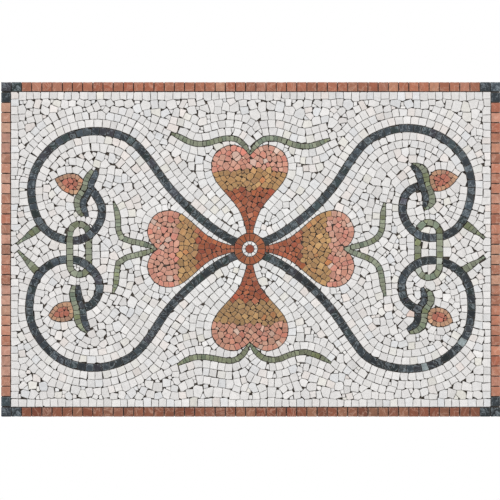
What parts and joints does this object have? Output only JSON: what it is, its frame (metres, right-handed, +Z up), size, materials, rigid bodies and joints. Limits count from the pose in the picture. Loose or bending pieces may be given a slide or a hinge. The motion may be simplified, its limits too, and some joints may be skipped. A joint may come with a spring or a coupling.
{
  "type": "mosaic panel",
  "caption": "Rectangular marble mosaic panel with dark scrolls, hearts and links on a white ground inside a terracotta border, on a woven net backing.",
  "frame": {"origin": "middle of the back face, where the panel is bedded on a wall", "axes": "+X to the right as the face is seen, +Z up, and the face looks along -Y"},
  "size_m": [0.6, 0.01, 0.402],
  "materials": {
    "net": "woven glass-fibre net in dried adhesive",
    "white_marble": "honed white marble with pale grey and pink tints",
    "dark_stone": "honed dark green-black marble with grey veins",
    "terracotta_marble": "honed red-brown marble",
    "red_marble": "honed red marble",
    "ochre_marble": "honed ochre marble",
    "pink_marble": "honed pink marble",
    "green_marble": "honed olive green marble"
  },
  "bodies": {
    "root": {"border_bottom": "terracotta_marble", "border_left": "terracotta_marble", "border_right": "terracotta_marble", "border_top": "terracotta_marble", "bud_lower_left": "ochre_marble", "bud_lower_right": "ochre_marble", "bud_upper_left": "ochre_marble", "bud_upper_right": "ochre_marble", "cell_lower_left": "white_marble", "cell_lower_right": "white_marble", "cell_upper_left": "white_marble", "cell_upper_right": "white_marble", "corner_lower_left": "dark_stone", "corner_lower_right": "dark_stone", "corner_upper_left": "dark_stone", "corner_upper_right": "dark_stone", "ground_left": "white_marble", "ground_outer": "white_marble", "ground_right": "white_marble", "heart_bottom_lobes": "pink_marble", "heart_bottom_middle": "ochre_marble", "heart_bottom_root": "red_marble", "heart_left_lobes": "pink_marble", "heart_left_middle": "ochre_marble", "heart_left_root": "red_marble", "heart_right_lobes": "pink_marble", "heart_right_middle": "ochre_marble", "heart_right_root": "red_marble", "heart_top_lobes": "pink_marble", "heart_top_middle": "ochre_marble", "heart_top_root": "red_marble", "leaf_lower_left": "green_marble", "leaf_lower_right": "green_marble", "leaf_upper_left": "green_marble", "leaf_upper_right": "green_marble", "link_left": "green_marble", "link_left_under": "green_marble", "link_right": "green_marble", "link_right_under": "green_marble", "mesh_backing": "net", "roundel_eye": "white_marble", "roundel_rim": "red_marble", "scroll_lower_left_curl": "dark_stone", "scroll_lower_left_stem": "dark_stone", "scroll_lower_right_curl": "dark_stone", "scroll_lower_right_stem": "dark_stone", "scroll_upper_left_curl": "dark_stone", "scroll_upper_left_stem": "dark_stone", "scroll_upper_right_curl": "dark_stone", "scroll_upper_right_stem": "dark_stone", "sepal_lower_left": "green_marble", "sepal_lower_right": "green_marble", "sepal_upper_left": "green_marble", "sepal_upper_right": "green_marble", "tendril_bottom": "green_marble", "tendril_left": "green_marble", "tendril_right": "green_marble", "tendril_top": "green_marble", "window_left": "white_marble", "window_right": "white_marble"}
  },
  "joints": []
}
